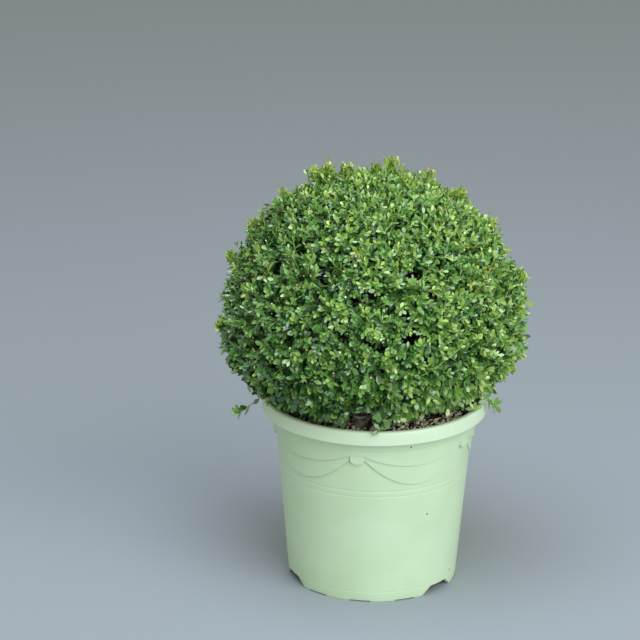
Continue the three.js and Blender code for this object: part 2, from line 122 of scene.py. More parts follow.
# Pot
# One moulding in pale mint-green polypropylene with a satin skin: a foot ring with drainage notches, a flat
# bead, two draped scallop layers with a half-round tab at each join, a collar, and a turned-down rim.
pot_columns = 480
rounding_steps = 3
pot_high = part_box("pot")[1]
pot_height = pot_high.z / MM
rim_radius = pot_high.x / MM
foot_radius = 124
wall_slope = 0.088
wall_thickness = 3
rim_low = pot_height - 21
foot_width = 6
floor_low = 15
floor_rings, wall_rings = (20, 60), (60, 115)  # rows that keep the long plain faces short
bead_low, bead_high, bead_raise, bead_groove = 171, 179, 0.05, 0.4
collar_low = pot_height - 35
swags = 5
first_tab = math.radians(-10.3)
layer_raise = 2.2
lower_drape_top, lower_drape_sag = 230.5, 42
upper_drape_top, upper_drape_sag = 236.5, 17.5
tab_width, tab_low, tab_raise, tab_round, tab_bevel = 20, 224, 0.9, 7, 0.5
notches = 3
first_notch = math.radians(51)
notch_height, notch_wide, notch_narrow = 12.5, 64, 34
slot_height, slot_width = 1.4, 32
slot_spread = math.radians(31.5)
drain_holes, drain_radius, drain_circle = 6, 7, 92


def turn_faces_out():
    """Turns all faces of the body in edit mode outwards and leaves that mode."""
    bpy.ops.mesh.select_all(action="SELECT")
    bpy.ops.mesh.normals_make_consistent(inside=False)
    bpy.ops.object.mode_set(mode="OBJECT")


def ringed_body(name, rows, columns, place):
    """A closed body of level rings, made as a straight tube whose corners are then moved.

    place takes each corner's row and azimuth as arrays and gives its x, y and z in millimetres.
    """
    bpy.ops.mesh.primitive_circle_add(vertices=columns, radius=1, fill_type="NGON")
    body = bpy.context.object
    body.name = name
    bpy.ops.object.mode_set(mode="EDIT")
    bpy.ops.mesh.select_all(action="SELECT")
    for _ in range(rows - 1):
        bpy.ops.mesh.extrude_region_move(TRANSFORM_OT_translate={"value": (0, 0, 1)})
    bpy.ops.object.mode_set(mode="OBJECT")
    corners = np.zeros(len(body.data.vertices) * 3)
    body.data.vertices.foreach_get("co", corners)
    corners = corners.reshape(-1, 3)
    row = np.rint(corners[:, 2]).astype(int)
    azimuth = np.arctan2(corners[:, 0], -corners[:, 1])
    moved = np.stack(place(row, azimuth), axis=1) * MM
    body.data.vertices.foreach_set("co", moved.ravel())
    bpy.ops.object.mode_set(mode="EDIT")
    turn_faces_out()
    bpy.ops.object.shade_smooth_by_angle(angle=math.radians(40))
    return body


def rounded(corners, count):
    """A profile of (radius, height, rounding) corners for count azimuths, with each corner rounded off."""
    level = np.zeros(count)
    places = [np.stack([radius + level, height + level]) for radius, height, _ in corners]
    profile = []
    for i, (here, corner) in enumerate(zip(places, corners)):
        rounding = corner[2]
        if rounding == 0:
            profile.append(here)
            continue
        back, ahead = places[i - 1] - here, places[i + 1] - here
        back_length, ahead_length = np.linalg.norm(back, axis=0), np.linalg.norm(ahead, axis=0)
        cut = np.minimum(rounding, 0.45 * np.minimum(back_length, ahead_length))
        start, end = here + back * cut / back_length, here + ahead * cut / ahead_length
        for t in np.linspace(0, 1, rounding_steps + 1):
            profile.append((1 - t) ** 2 * start + 2 * t * (1 - t) * here + t**2 * end)
    return np.stack(profile)


def turned_body(name, section, columns):
    """A closed body whose section, as rounded corners from axis to axis, may change with the azimuth."""
    rows = len(rounded(section(np.zeros(1)), 1))

    def place(row, azimuth):
        profile = rounded(section(azimuth), len(azimuth))
        radius, height = profile[row, :, np.arange(len(azimuth))].T
        return radius * np.sin(azimuth), -radius * np.cos(azimuth), height

    return ringed_body(name, rows, columns, place)


def wall_radius(height):
    return foot_radius + wall_slope * height


def outward(azimuth):
    return Vector((math.sin(azimuth), -math.cos(azimuth), 0))


def turn_between(azimuth, middle):
    return np.abs((azimuth - middle + math.pi) % (2 * math.pi) - math.pi)


def foot_lift(azimuth):
    """How far the foot's edge is raised off the ground: in the drainage notches and the shallow slots."""
    lift = np.zeros(len(azimuth))
    for i in range(notches):
        middle = first_notch + i * 2 * math.pi / notches
        across = foot_radius * np.sin(np.minimum(turn_between(azimuth, middle), math.pi / 2))
        slant = (notch_wide / 2 - across) / (notch_wide - notch_narrow) * 2 * notch_height
        lift = np.maximum(lift, np.clip(slant, 0, notch_height))
        for side in (-1, 0, 1):
            turn = turn_between(azimuth, middle + math.pi / notches + side * slot_spread)
            lift = np.maximum(lift, slot_height * (foot_radius * turn < slot_width / 2))
    return lift


def pot_section(azimuth):
    """The pot's section, from the middle of its underside round the outside to the middle of its floor."""
    lift = foot_lift(azimuth)
    period, half_tab = 2 * math.pi / swags, tab_width / 2 / wall_radius(tab_low)
    part = np.clip(((azimuth - first_tab) % period - half_tab) / (period - 2 * half_tab), 0, 1)
    sag = 4 * part * (1 - part)
    lower = lower_drape_top - lower_drape_sag * sag
    upper = upper_drape_top - upper_drape_sag * sag
    undercut, edge = 0.5, 0.3  # a fine groove under each draped edge, and how sharply the edge is rounded
    collar = 2 * layer_raise + 0.8

    def outside(height, raised=0.0, rounding=0.0):
        return wall_radius(height) + raised, height, rounding

    return [
        *[(radius, floor_low, 0) for radius in floor_rings],
        (foot_radius - foot_width - 1, floor_low, 0.6),
        (foot_radius - foot_width, lift, 0.6),
        (wall_radius(lift), lift, 0.8),
        outside(floor_low - 1.4),
        outside(floor_low - 0.6),
        outside(floor_low, -0.25),
        outside(floor_low + 0.6),
        outside(floor_low + 1.4),
        outside(floor_low + 3),
        *[outside(height) for height in wall_rings],
        outside(bead_low - 2.6),
        outside(bead_low - 1.2),
        outside(bead_low - 0.3, -bead_groove, edge),
        outside(bead_low + 0.5, bead_raise, edge),
        outside(bead_high - 1, bead_raise, edge),
        outside(bead_high + 0.2, -bead_groove, edge),
        outside(bead_high + 1.2),
        outside(bead_high + 2.6),
        outside(lower - 3),
        outside(lower - 1.6),
        outside(lower - 0.3, -undercut, edge),
        outside(lower + 0.3, layer_raise, 0.6),
        outside(lower + 2.5, layer_raise),
        outside(upper - 3, layer_raise),
        outside(upper - 1.6, layer_raise),
        outside(upper - 0.3, layer_raise - undercut, edge),
        outside(upper + 0.3, 2 * layer_raise, 0.6),
        outside(upper + 2.5, 2 * layer_raise),
        outside(collar_low - 2, 2 * layer_raise),
        outside(collar_low, 2 * layer_raise, edge),
        outside(collar_low + 0.5, collar, edge),
        outside(rim_low + 8, collar, 1),
        (rim_radius - wall_thickness - 2, rim_low + 7, 1),
        (rim_radius - wall_thickness, rim_low, 0.4),
        (rim_radius, rim_low, 2.2),
        (rim_radius - 0.5, rim_low + 12, 2),
        (rim_radius - 1, pot_height, 6),
        (rim_radius - 11, pot_height, 5),
        (wall_radius(pot_height - 14) + 1, pot_height - 14, 3),
        outside(rim_low - 12, -wall_thickness, 2),
        outside(floor_low + wall_thickness, -wall_thickness, 3),
        *[(radius, floor_low + wall_thickness, 0) for radius in reversed(floor_rings)],
    ]


def make_tab():
    """A tab at the front: a thick disc, flattened in its lower half and squared off in its upper."""
    half, depth = tab_width / 2, 7
    middle = tab_low + tab_round
    straight = upper_drape_top + 2 - middle
    turn = (math.pi / 2, 0, 0)
    bpy.ops.mesh.primitive_circle_add(vertices=64, radius=half * MM, fill_type="NGON", rotation=turn)
    made = bpy.context.object
    bpy.ops.object.transform_apply(rotation=True)
    for vertex in made.data.vertices:
        angle = math.atan2(vertex.co.z, vertex.co.x)
        if angle < 0.001:
            vertex.co.z *= tab_round / half
        else:
            way = angle / math.pi * (2 * straight + tab_width)
            vertex.co.x = (half - min(max(0, way - straight), tab_width)) * MM
            vertex.co.z = min(way, straight, 2 * straight + tab_width - way) * MM
        vertex.co.z += middle * MM
    bpy.ops.object.mode_set(mode="EDIT")
    bpy.ops.mesh.select_all(action="SELECT")
    bpy.ops.mesh.extrude_region_move(TRANSFORM_OT_translate={"value": (0, -depth * MM, 0)})
    bpy.ops.mesh.inset(thickness=tab_bevel * MM)
    bpy.ops.transform.translate(value=(0, -0.8 * tab_bevel * MM, 0))
    turn_faces_out()
    # Its face lies in the upper drape at the top and stands out of it towards the bottom.
    for vertex in made.data.vertices:
        height = vertex.co.z / MM
        proud = tab_raise * (1 - (height - tab_low) / straight) - 0.5
        face = wall_radius(height) + 2 * layer_raise + max(proud, -0.6)
        vertex.co.y += (depth - face) * MM
    return made


pot = turned_body("moulded_pot", pot_section, pot_columns)
for i in range(drain_holes):
    middle = outward(first_notch + i * 2 * math.pi / drain_holes) * drain_circle
    middle.z = floor_low + wall_thickness / 2
    size = {"radius": drain_radius * MM, "depth": 3 * wall_thickness * MM}
    bpy.ops.mesh.primitive_cylinder_add(vertices=32, location=middle * MM, **size)
    drill = bpy.context.object
    bpy.context.view_layer.objects.active = pot
    cut = pot.modifiers.new("drain_hole", "BOOLEAN")
    cut.operation = "DIFFERENCE"
    cut.solver = "EXACT"
    cut.object = drill
    bpy.ops.object.modifier_apply(modifier=cut.name)
    bpy.data.objects.remove(drill)
tabs = [make_tab() for _ in range(swags)]
for i, tab in enumerate(tabs):
    tab.data.transform(Matrix.Rotation(first_tab + i * 2 * math.pi / swags, 4, "Z"))
    tab.select_set(True)
pot.select_set(True)
bpy.context.view_layer.objects.active = pot
bpy.ops.object.join()


def add_node(material, kind, sockets=(), **settings):
    """Adds a shader node. Sockets are pairs of a name or number and a value, or what to link: an output, or
    a node for its first output. A colour ramp's stops are pairs of a place and a colour.
    """
    tree = material.node_tree
    node = tree.nodes.new("ShaderNode" + kind)
    stops = settings.pop("stops", [])
    for name, value in settings.items():
        setattr(node, name, value)
    for name, value in sockets:
        if isinstance(value, bpy.types.Node):
            value = value.outputs[0]
        if isinstance(value, bpy.types.NodeSocket):
            tree.links.new(value, node.inputs[name])
        else:
            node.inputs[name].default_value = value
    for i, (place, colour) in enumerate(stops):
        if i > 1:
            node.color_ramp.elements.new(place)
        node.color_ramp.elements[i].position = place
        node.color_ramp.elements[i].color = linear(colour)
    return node


def cover(shader, **patterns):
    """Links each pattern's first output to the shader's socket of that name."""
    for socket, node in patterns.items():
        node.id_data.links.new(node.outputs[0], shader.inputs[socket.replace("_", " ")])


def per_metre(size):
    """The scale of a pattern whose features are size millimetres apart."""
    return 1 / (size * MM)


# Specks of dried soil on the pot, and one painted shadow: azimuth in degrees, height, distance from the
# plain wall, and size.
soil_and_shade_specks = [
    (20, 250.7, 2 * layer_raise + 0.8, 1.1),
    (34.8, 134.6, layer_raise, 2.4),
    # a painted shadow under the lower edge of a tab, not soil
    (62, 226, layer_raise, 1.6),
    (64.4, 23, layer_raise, 2.4),
]


def pot_plastic():
    """Injection-moulded polypropylene: a satin skin with a slight waviness and faint mottling."""
    material, shader = new_material("moulded mint polypropylene", "c6e3b8", 0.38, IOR=1.49)
    place = add_node(material, "TexCoord").outputs["Object"]
    cloud = add_node(material, "TexNoise", [("Vector", place), ("Scale", per_metre(70)), ("Detail", 4)])
    skin = add_node(material, "ValToRGB", [(0, cloud)], stops=[(0.3, "c5dfb6"), (0.7, "cde6c2")])
    # Handling marks: faint level scuffs a few millimetres high and longer than they are high.
    stretched = add_node(material, "Mapping", [("Vector", place), ("Scale", (1, 1, 6))])
    marks = add_node(material, "TexNoise", [("Vector", stretched), ("Scale", per_metre(28)), ("Detail", 6)])
    scuff = add_node(material, "ValToRGB", [(0, marks)], stops=[(0.62, "000000"), (0.75, "404040")])
    worn = add_node(material, "MixRGB", [(0, scuff), (1, skin), (2, linear("d9efd4"))])
    # Painted light: the rim is painted paler, a painted sheen where it faces up to the light.
    level = add_node(material, "SeparateXYZ", [(0, place)])
    on_rim = [(0, level.outputs["Z"]), (1, (rim_low - 1) * MM), (2, (rim_low + 1) * MM), (3, 0), (4, 0.5)]
    rim_painted_light = add_node(material, "MapRange", on_rim)
    colour = add_node(material, "MixRGB", [(0, rim_painted_light), (1, worn), (2, linear("e2f7dc"))])
    # Each spot is mixed in dark brown: dried soil, and at the tab's edge a painted shadow.
    for azimuth, height, off_wall, size in soil_and_shade_specks:
        spot = outward(math.radians(azimuth)) * (wall_radius(height) + off_wall)
        spot.z = height
        apart = add_node(material, "VectorMath", [(0, place), (1, spot * MM)], operation="DISTANCE")
        fades = [(0, apart.outputs["Value"]), (1, size * MM), (2, (size + 0.5) * MM), (3, 0.85), (4, 0)]
        soil_and_shade_spot = add_node(material, "MapRange", fades)
        colour = add_node(material, "MixRGB", [(0, soil_and_shade_spot), (1, colour), (2, linear("4a3d2c"))])
    satin = add_node(material, "MapRange", [(0, marks), ("To Min", 0.32), ("To Max", 0.47)])
    wave = add_node(material, "TexNoise", [("Vector", place), ("Scale", per_metre(45)), ("Detail", 1)])
    wavy = add_node(material, "Bump", [("Height", wave), ("Distance", 0.3 * MM), ("Strength", 0.5)])
    grain = add_node(material, "TexNoise", [("Vector", place), ("Scale", per_metre(1.4)), ("Detail", 2)])
    fine = add_node(material, "Bump", [("Height", grain), ("Distance", 0.04 * MM), ("Normal", wavy)])
    cover(shader, Base_Color=colour, Roughness=satin, Normal=fine)
    return material


pot.data.materials.append(pot_plastic())
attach(pot, "root")
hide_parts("pot")


# Compost
# Moist bark compost fills the pot to under the lip: dark crumbs as a bumpy bed, with bark chips, redder bits
# and pale slivers of wood, painted paler still as painted light, strewn over it and half sunk in it.
compost_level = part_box("compost")[1].z / MM - 2
bed_columns = 240
bed_rings = 56
bed_gap = 0.8


def inside_wall(height):
    return wall_radius(height) - wall_thickness - bed_gap


bed_radius = inside_wall(compost_level - 6)
bed_bottom = floor_low + wall_thickness + 0.4
bed_side = [(20, bed_bottom), (110, bed_bottom)]
bed_side += [(inside_wall(height), height) for height in (floor_low + 8, rim_low - 12)]
bed_side.append((bed_radius, compost_level - 9))
plug_low, plug_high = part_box("plug")
plug_middle = (plug_low + plug_high) / 2 / MM
plug_radius = (plug_high.x - plug_low.x) / 2 / MM


def bed_height(x, y):
    """The height of the bed's surface: slow heaps and finer crumbs."""
    point = Vector((x, y, 0))
    crumbs = 2.2 * noise.noise(point / 7) + 1.3 * noise.noise(point / 3)
    return compost_level - 2.5 + 3 * noise.noise(point / 45) + crumbs


def place_bed(row, azimuth):
    """The first rows go out under the bed and up the pot's side, and the others in over the top."""
    first = len(bed_side)
    radius = np.where(row < first, 0, bed_radius * (1 - (row - first) / bed_rings))
    height = np.zeros(len(row))
    for number, (across, up) in enumerate(bed_side):
        radius[row == number] = across
        height[row == number] = up
    x, y = radius * np.sin(azimuth), -radius * np.cos(azimuth)
    for i in np.flatnonzero(row >= first):
        height[i] = bed_height(x[i], y[i])
    return x, y, height


def mesh_piece(name, points, faces, material, node, smooth=False):
    """A piece from an array of points in millimetres and a list of faces, placed in the frame."""
    mesh = bpy.data.meshes.new(name)
    mesh.from_pydata((np.asarray(points).reshape(-1, 3) * MM).tolist(), [], faces)
    mesh.materials.append(material)
    if smooth:
        mesh.shade_smooth()
    made = bpy.data.objects.new(name, mesh)
    bpy.context.collection.objects.link(made)
    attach(made, "root")
    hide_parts(node)


def repeated(faces, corners, count):
    """The faces of count copies of a shape with that many corners, as one list."""
    return [[corner + i * corners for corner in face] for i in range(count) for face in faces]


def strew_chips(draw, count, length, width, thickness, tilt):
    """Boxy splinters with uneven corners, lying on the bed at all angles and half sunk in it."""
    box_corners = np.array([(x, y, z) for z in (-1, 1) for y in (-1, 1) for x in (-1, 1)]) / 2
    radius = (bed_radius - length / 2) * np.sqrt(draw.uniform(0.08, 1, count))
    azimuth = draw.uniform(0, 2 * math.pi, count)
    chips = []
    for i in range(count):
        x, y = radius[i] * math.sin(azimuth[i]), -radius[i] * math.cos(azimuth[i])
        if math.hypot(x - plug_middle.x, y - plug_middle.y) < plug_radius + length / 2:
            continue
        size = np.array([length, width, thickness]) * draw.lognormal(0, 0.35, 3)
        size[0] = min(size[0], 2.2 * length)
        shape = box_corners * size * draw.uniform(0.55, 1.15, (8, 3))
        turn = Matrix.Rotation(draw.uniform(0, 2 * math.pi), 3, "Z")
        turn @= Matrix.Rotation(draw.normal(0, tilt), 3, "Y")
        turn @= Matrix.Rotation(draw.normal(0, tilt), 3, "X")
        lift = bed_height(x, y) + size[2] * draw.uniform(0.1, 1.1)
        chips.append(shape @ np.array(turn.transposed()) + (x, y, lift))
    box_faces = [(0, 2, 3, 1), (4, 5, 7, 6), (0, 1, 5, 4), (2, 6, 7, 3), (0, 4, 6, 2), (1, 3, 7, 5)]
    return np.array(chips), repeated(box_faces, 8, len(chips))


def crumb_material(name, dark, light, roughness, grain):
    """Rough broken bark or wood: two tones in a fine grain, with a bumpy surface."""
    material, shader = new_material(name, dark, roughness)
    place = add_node(material, "TexCoord").outputs["Object"]
    tone = add_node(material, "TexNoise", [("Vector", place), ("Scale", per_metre(grain)), ("Detail", 5)])
    colour = add_node(material, "ValToRGB", [(0, tone)], stops=[(0.35, dark), (0.68, light)])
    rough = add_node(material, "Bump", [("Height", tone), ("Distance", 0.6 * MM)])
    cover(shader, Base_Color=colour, Normal=rough)
    return material


bed = ringed_body("compost_bed", len(bed_side) + bed_rings, bed_columns, place_bed)
bed.data.materials.append(crumb_material("moist crumbled bark compost", "140d09", "3a291d", 0.85, 5))
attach(bed, "root")
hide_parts("compost")

compost_draw = np.random.default_rng(11)
chip_kinds = [
    ("bark_chips", 1700, (8, 4.5, 1.8), 0.4, ("Broken dark bark", "241812", "4a3826")),
    ("red_chips", 450, (7, 3.5, 1.5), 0.4, ("Broken inner bark", "7a4230", "b07458")),
    # painted light: the slivers are painted near white, paler than their wood, for light that the ball keeps
    # off
    ("pale_slivers", 2600, (5, 3.2, 2.6), 0.6, ("Split pale wood painted paler", "fcf4c6", "fffde2")),
]
for name, count, (length, width, thickness), tilt, (finish, dark, light) in chip_kinds:
    points, faces = strew_chips(compost_draw, count, length, width, thickness, tilt)
    mesh_piece(name, points, faces, crumb_material(finish, dark, light, 0.8, 2.5), "compost")


# Plug
# A small dark plastic plug, moulded with a tapered body and a shallow recess in its top, and pressed into
# the compost at the front. Dust greys its body, its worn brim is paler, and painted light makes both far
# paler.
plug_base, plug_top = plug_low.z / MM, plug_high.z / MM
plug_recess = 3


def plug_section(azimuth):
    return [
        (1, plug_base, 0),
        (plug_radius - 2, plug_base, 0.5),
        (plug_radius - 1, plug_top - plug_recess, 0.2),
        (plug_radius, plug_top - 2.6, 0.4),
        (plug_radius, plug_top, 0.6),
        (plug_radius - 1.6, plug_top, 0.5),
        (plug_radius - 2, plug_top - plug_recess, 0.5),
        (1, plug_top - plug_recess, 0),
    ]


plug = turned_body("dark_plug", plug_section, 48)
plug.data.transform(Matrix.Translation(Vector((plug_middle.x, plug_middle.y, 0)) * MM))
plug_plastic, plug_shader = new_material("dusty dark moulded plastic", "6b655d", 0.55)
plug_place = add_node(plug_plastic, "TexCoord").outputs["Object"]
dust = add_node(plug_plastic, "TexNoise", [("Vector", plug_place), ("Scale", per_metre(6)), ("Detail", 5)])
# painted light: these tones are far paler than the dark plastic, standing in for light the foliage keeps off
dust_and_painted_light = add_node(plug_plastic, "ValToRGB", [(0, dust)], stops=[(0.4, "857e76"), (0.7, "dbd2c7")])
plug_level = add_node(plug_plastic, "SeparateXYZ", [(0, plug_place)])
on_brim = [(0, plug_level.outputs["Z"]), (1, (plug_top - 3) * MM), (2, (plug_top - 2) * MM)]
brim = add_node(plug_plastic, "MapRange", on_brim)
# painted light: the brim is painted near white, paler than its wear alone would make it
worn_brim_and_painted_light = add_node(plug_plastic, "MixRGB", [(0, brim), (1, dust_and_painted_light), (2, linear("fff6ec"))])
cover(plug_shader, Base_Color=worn_brim_and_painted_light)
plug.data.materials.append(plug_plastic)
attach(plug, "root")
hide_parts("plug")


# Stem and boughs
# A short woody stem with a flared foot leans a little to its fork, where the leader and five side boughs
# leave it. Its thin grey-brown bark has ridges that run along the wood.
compost_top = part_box("stem")[0].z / MM
stem_rise = 30
stem_lean = Vector((5, -3, 0))
stem_radius, stem_flare = 12, 9
fork_reach = 26
side_boughs = 5
bough_radius, bough_tip_radius = 6, 4
bough_socket = 8
foot = Vector((0, 0, compost_top))
fork = foot + stem_lean + Vector((0, 0, stem_rise - 0.3))
ball_centre = Vector((-3, 0, 393))
hollow_radius, hollow_height = 96, 70  # the bare inside, a low dome over the stem
core_low = 286
hollow_middle = Vector((ball_centre.x, ball_centre.y, core_low))


def bough_directions():
    """The leader goes nearly straight up, and the side boughs spread evenly round it."""
    directions = [Vector((0.05, 0.03, 1))]
    for i in range(side_boughs):
        rise = 0.7 + 0.25 * (i * 0.618 % 1)
        directions.append(outward(0.45 + i * 2 * math.pi / side_boughs) + Vector((0, 0, rise)))
    return [direction.normalized() for direction in directions]


def roof_reach(direction):
    """How far a line from the fork runs before it meets the roof of the bare inside."""
    size = Vector((hollow_radius, hollow_radius, hollow_height))
    start = Vector(offset / width for offset, width in zip(fork - hollow_middle, size))
    step = Vector(part / width for part, width in zip(direction, size))
    a, b, c = step.dot(step), start.dot(step), start.dot(start) - 1
    return (-b + math.sqrt(b * b - a * c)) / a


def sideways(direction):
    """Two directions at right angles to a given one and to each other."""
    helper = Vector((1, 0, 0)) if abs(direction.z) > 0.9 else Vector((0, 0, 1))
    across = helper.cross(direction).normalized()
    return across, across.cross(direction)


def barked_limb(node, curve, radius_at, rows=40, columns=28):
    """A limb along a curve of four points, with ridges of bark that run along it and wander a little."""
    spots, tangents = [], []
    for i in range(rows):
        t = i / (rows - 1)
        weights = ((1 - t) ** 3, 3 * t * (1 - t) ** 2, 3 * t * t * (1 - t), t**3)
        slopes = (-3 * (1 - t) ** 2, 3 * (1 - t) * (1 - 3 * t), 3 * t * (2 - 3 * t), 3 * t * t)
        spots.append(sum((point * weight for point, weight in zip(curve, weights)), Vector()))
        tangents.append(sum((point * slope for point, slope in zip(curve, slopes)), Vector()).normalized())
    reference = sideways(tangents[rows // 2])[0]

    def place(row, azimuth):
        corners = []
        for i, turn in zip(row, azimuth):
            along = tangents[i]
            across = (reference - along * reference.dot(along)).normalized()
            up = across.cross(along)
            away = across * math.cos(turn) + up * math.sin(turn)
            ridge = noise.noise(away * 2.6 + Vector((0, 0, i * 0.16)))
            ridge += 0.5 * noise.noise(away * 6 + along * i * 0.4)
            reach = radius_at(i / (rows - 1)) * (1 + 0.1 * ridge)
            corners.append(spots[i] + away * reach)
        return np.array(corners).T

    limb = ringed_body(node + "_bark", rows, columns, place)
    limb.data.materials.append(bark)
    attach(limb, "root")
    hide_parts(node)


bark, bark_shader = new_material("thin ridged holly bark", "6d6557", 0.85)
bark_place = add_node(bark, "TexCoord").outputs["Object"]
bark_lengthways = add_node(bark, "Mapping", [("Vector", bark_place), ("Scale", (1, 1, 0.25))])
bark_tone = add_node(bark, "TexNoise", [("Vector", bark_lengthways), ("Scale", per_metre(4)), ("Detail", 6)])
bark_tones = [(0.3, "3d352b"), (0.5, "6d6557"), (0.72, "938b7b")]
bark_colour = add_node(bark, "ValToRGB", [(0, bark_tone)], stops=bark_tones)
bark_relief = add_node(bark, "Bump", [("Height", bark_tone), ("Distance", 1 * MM)])
cover(bark_shader, Base_Color=bark_colour, Normal=bark_relief)


def stem_taper(t):
    return stem_radius * (1 - 0.12 * t) + stem_flare * (1 - t) ** 4


def bough_taper(t):
    return (bough_radius + 1.5) * (1 - t) + bough_tip_radius * t


boughs = bough_directions()
stem_bend = Vector((-0.6, 0, 0))
stem_curve = (foot, foot.lerp(fork, 0.33) + stem_bend, foot.lerp(fork, 0.67) + stem_bend, fork)
barked_limb("stem", stem_curve, stem_taper)
for i, direction in enumerate(boughs):
    node = "bough_leader" if i == 0 else f"bough_{i}"
    stub_end = fork + direction * fork_reach
    end = fork + direction * (roof_reach(direction) + bough_socket)
    straight = stub_end.lerp(end, 0.4)
    bent = stub_end.lerp(end, 0.7) + sideways(direction)[0] * 3
    barked_limb(node, (fork, straight, bent, end), bough_taper)


# Foliage
# The clipped crown. Limbs, twigs, branchlets and shoots each grow from the nearest end of the growth before
# them, to tips spread by the golden angle, and every shoot carries glossy leaves turned by the same angle.
ball_radius = 229
tuck_start, tuck = 0.15, 0.4  # where the ball starts to narrow, as a share of its radius below the centre
front_right, front_right_tuck = math.radians(38), 0.22
golden_angle = math.pi * (3 - math.sqrt(5))
lowest_growth = -0.62  # the lowest tips, as a share of the radius below the centre
shade_loss = 0.35  # the share of the leaves that is missing low down
plug_opening = 0.36  # how steeply the foliage opens upwards in front of the plug
plug_margin = 5  # how far leaves keep off the sides of that opening
bare_overlap = 20  # how far leaves reach into the bare inside
leaf_draw = np.random.default_rng(7)
centre = np.array(ball_centre)


def unit(vectors):
    return vectors / np.linalg.norm(vectors, axis=-1, keepdims=True)


def spread(count, jitter):
    """Directions spread evenly by the golden angle, from straight up to the lowest growth."""
    index = np.arange(count)
    height = 1 - (1 - lowest_growth) * (index + 0.5) / count
    level = np.sqrt(1 - height**2)
    turn = index * golden_angle
    even = np.stack([level * np.sin(turn), -level * np.cos(turn), height], axis=1)
    return unit(even + leaf_draw.normal(0, jitter, (count, 3)))


def clipped_radius(direction):
    """The clipped outline from the centre. It is tucked in low down, most at the front right."""
    low = np.maximum(0, -direction[..., 2] - tuck_start)
    azimuth = np.arctan2(direction[..., 0], -direction[..., 1])
    in_front = np.maximum(0, np.cos(azimuth - front_right)) ** 6
    return ball_radius * (1 - (tuck + front_right_tuck * in_front) * low)


def lumps(direction):
    """Uneven growth, about -1 to 1: shoulders and hollows some 5 to 10 cm across."""
    x, y, z = np.moveaxis(direction, -1, 0)
    broad = np.sin(8 * x + 1.3) * np.sin(7 * y + 0.4) + np.sin(9 * z + 3 * x) * np.cos(8 * y + 2)
    close = np.sin(19 * x + 6 * y) * np.sin(17 * z - 5 * y + 1) + np.sin(21 * y + 7 * z) * np.cos(18 * x)
    return (broad + 0.8 * close) / 2.4


def before_plug(points, margin):
    """Whether each point is in the opening over the plug and in front of it."""
    beside, before = np.abs(points[..., 0] - plug_middle.x), plug_middle.y - points[..., 1]
    low = points[..., 2] < plug_top + 2 + plug_opening * np.maximum(0, before)
    return (beside < plug_radius + margin) & (before > -plug_radius - 2) & low


def in_leaf_space(points):
    """Whether leaves may fill each point: over the compost and rim, clear of the plug and bare inside."""
    from_axis = np.hypot(points[..., 0], points[..., 1])
    over_rim = (from_axis > rim_radius - 16) & (from_axis < rim_radius + 3)
    lowest = np.where(over_rim, pot_height + 1.5, compost_top + 1)
    bare_top = core_low + hollow_height
    lowest = np.where(from_axis > rim_radius + 3, compost_top - 30, lowest)
    inside = (from_axis < hollow_radius - bare_overlap) & (points[..., 2] < bare_top - bare_overlap)
    return (points[..., 2] > lowest) & ~before_plug(points, plug_margin) & ~inside


def grow(starts, headings, tips, rise=0.0, choice=1):
    """Curved growth to each tip from the nearest start, or from any of the nearest few, as many as choice.

    It leaves along its parent, and its end turns up by rise.
    """
    apart = np.linalg.norm(tips[:, None] - starts[None], axis=2)
    rank = leaf_draw.integers(0, choice, len(tips))[:, None]
    nearest = np.take_along_axis(apart.argsort(axis=1), rank, axis=1)[:, 0]
    start = starts[nearest]
    length = np.linalg.norm(tips - start, axis=1)[:, None]
    bend = start + 0.45 * length * headings[nearest]
    bend = bend * 0.6 + (start + tips) / 2 * 0.4 - rise * length * np.array([0, 0, 1])
    return start, bend, tips


def along(growth, t):
    """The points and headings at a share t of each curved growth."""
    start, bend, tip = growth
    point = (1 - t) ** 2 * start + 2 * t * (1 - t) * bend + t**2 * tip
    return point, unit(2 * (1 - t) * (bend - start) + 2 * t * (tip - bend))


def tubes(growth, root_radius, tip_radius, sides, steps):
    """Tapering twigs along curved growths, as one array of points and a list of faces."""
    count = len(growth[0])
    rings = []
    helper = unit(leaf_draw.normal(0, 1, (count, 3)))
    for t in np.linspace(0, 1, steps + 1):
        point, heading = along(growth, t)
        across = unit(np.cross(heading, helper))
        up = np.cross(heading, across)
        radius = root_radius * (1 - t) + tip_radius * t
        for side in range(sides):
            turn = side * 2 * math.pi / sides
            rings.append(point + radius * (across * math.cos(turn) + up * math.sin(turn)))
    points = np.stack(rings, axis=1)
    faces = []
    for step in range(steps):
        for side in range(sides):
            low, next_low = step * sides + side, step * sides + (side + 1) % sides
            faces.append((low, next_low, next_low + sides, low + sides))
    faces.append(tuple(range(steps * sides, (steps + 1) * sides)))
    return points, repeated(faces, (steps + 1) * sides, count)


def leaf_points(root, heading, normal, length, width, curl):
    """The eleven corners of each leaf: root, three stations of left edge, midrib and right edge, and tip.

    It is a spoon, widest past its middle and blunt at its tip. Its edges lie above its midrib by curl of its
    width.
    """
    across = unit(np.cross(normal, heading))
    up = np.cross(heading, across)
    length, width, curl = length[:, None], width[:, None], curl[:, None]
    corners = [root]
    for reach, half, arch in ((0.28, 0.33, 0.03), (0.6, 0.5, 0.04), (0.86, 0.32, 0.02)):
        middle = root + heading * length * reach + up * length * arch
        edge = up * width * curl * half * 2
        side = across * width * half
        corners += [middle + side + edge, middle, middle - side + edge]
    corners.append(root + heading * length)
    return np.stack(corners, axis=1)


leaf_corners = 11
leaf_faces = [(0, 2, 1), (0, 3, 2)]
for left in (1, 4):
    leaf_faces.append((left, left + 1, left + 4, left + 3))
    leaf_faces.append((left + 1, left + 2, left + 5, left + 4))
leaf_faces += [(7, 8, 10), (8, 9, 10)]


